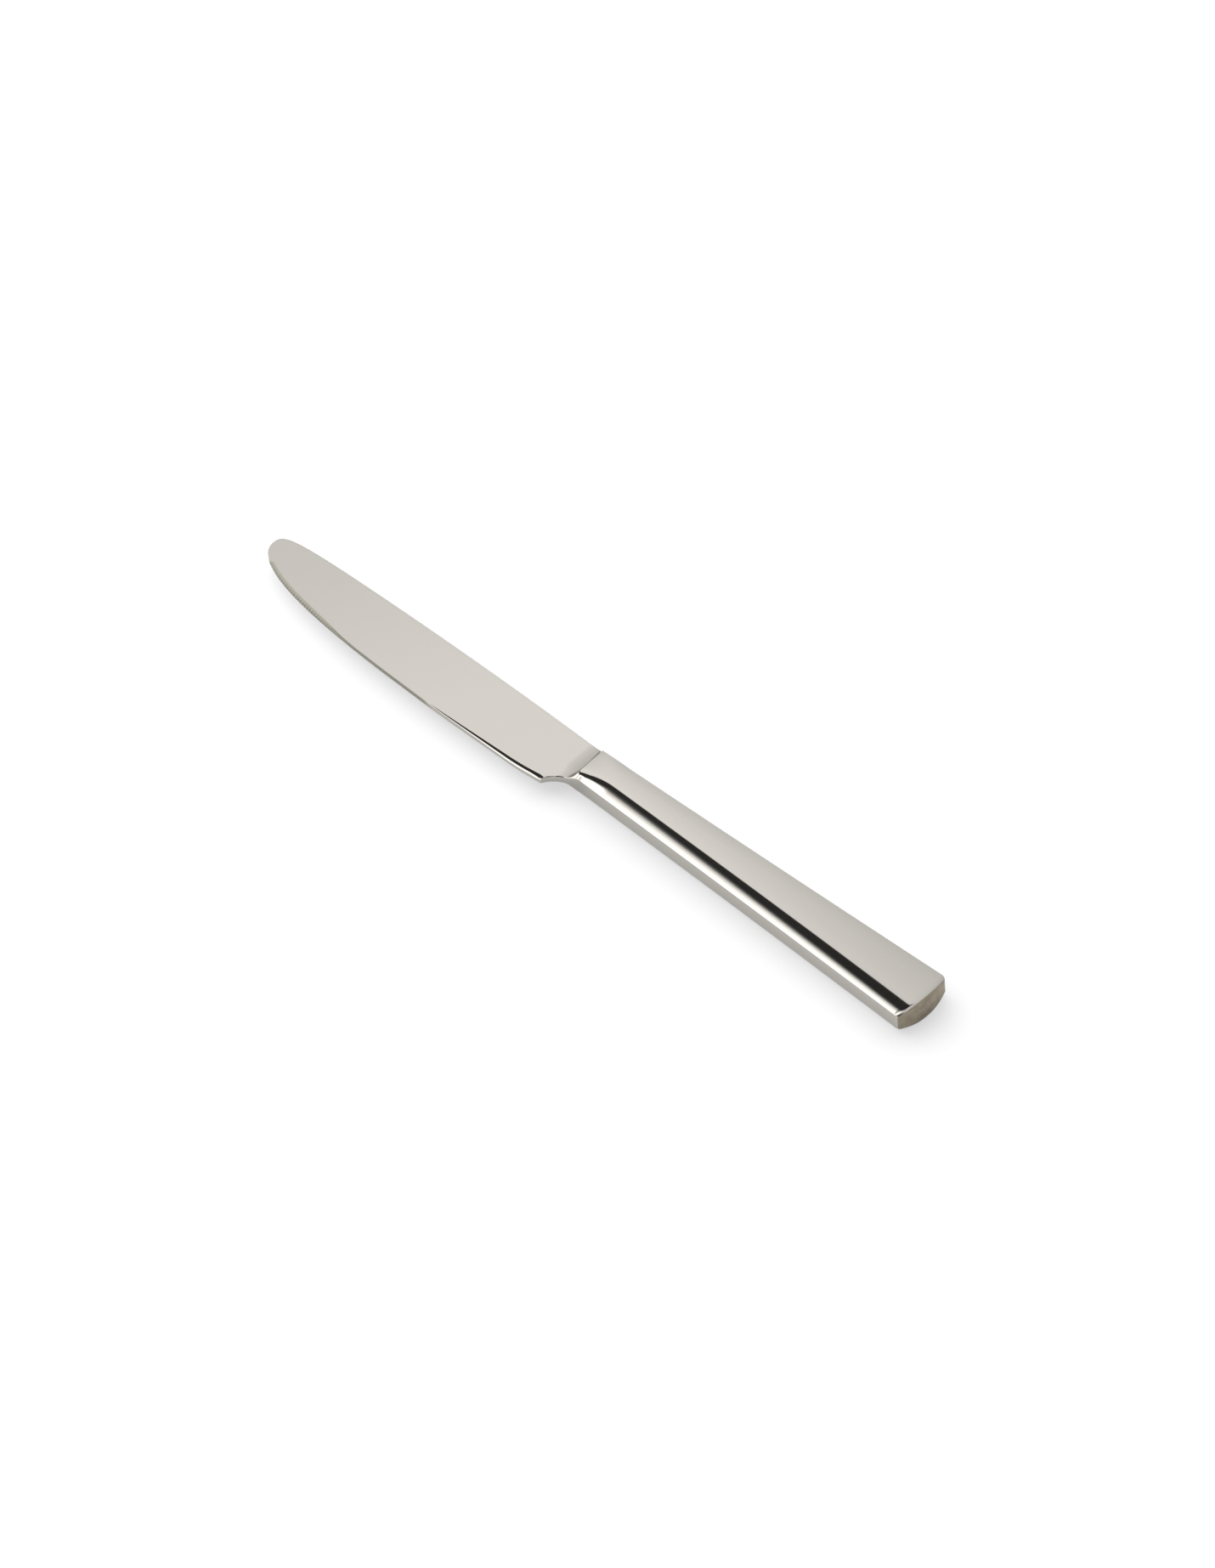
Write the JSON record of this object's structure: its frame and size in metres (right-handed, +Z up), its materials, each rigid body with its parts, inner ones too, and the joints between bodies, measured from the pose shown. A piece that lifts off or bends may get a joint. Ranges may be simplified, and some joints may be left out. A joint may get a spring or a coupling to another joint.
{
  "type": "table knife",
  "caption": "Polished stainless table knife with a hollow crowned handle that widens to a bowed butt, and a round-tipped blade with a finely serrated front edge.",
  "frame": {"origin": "under the middle of the whole knife, on the surface that it lies on", "axes": "+X along the knife from the butt to the tip, +Y to the cutting edge, +Z up from the surface that it lies on"},
  "size_m": [0.235, 0.0216, 0.0072],
  "materials": {
    "polished_steel": "mirror polished",
    "ground_steel": "fine ground, dull",
    "silver_braze": "polished flush",
    "resin_filler": "cast, matt"
  },
  "bodies": {
    "root": {"blade": "polished_steel", "upper_shell": "polished_steel", "lower_shell": "polished_steel", "butt_cap": "ground_steel", "edge_seam_braze": "silver_braze", "spine_seam_braze": "silver_braze", "mouth_braze": "silver_braze", "cap_braze": "silver_braze", "tang_filler": "resin_filler"}
  },
  "joints": []
}
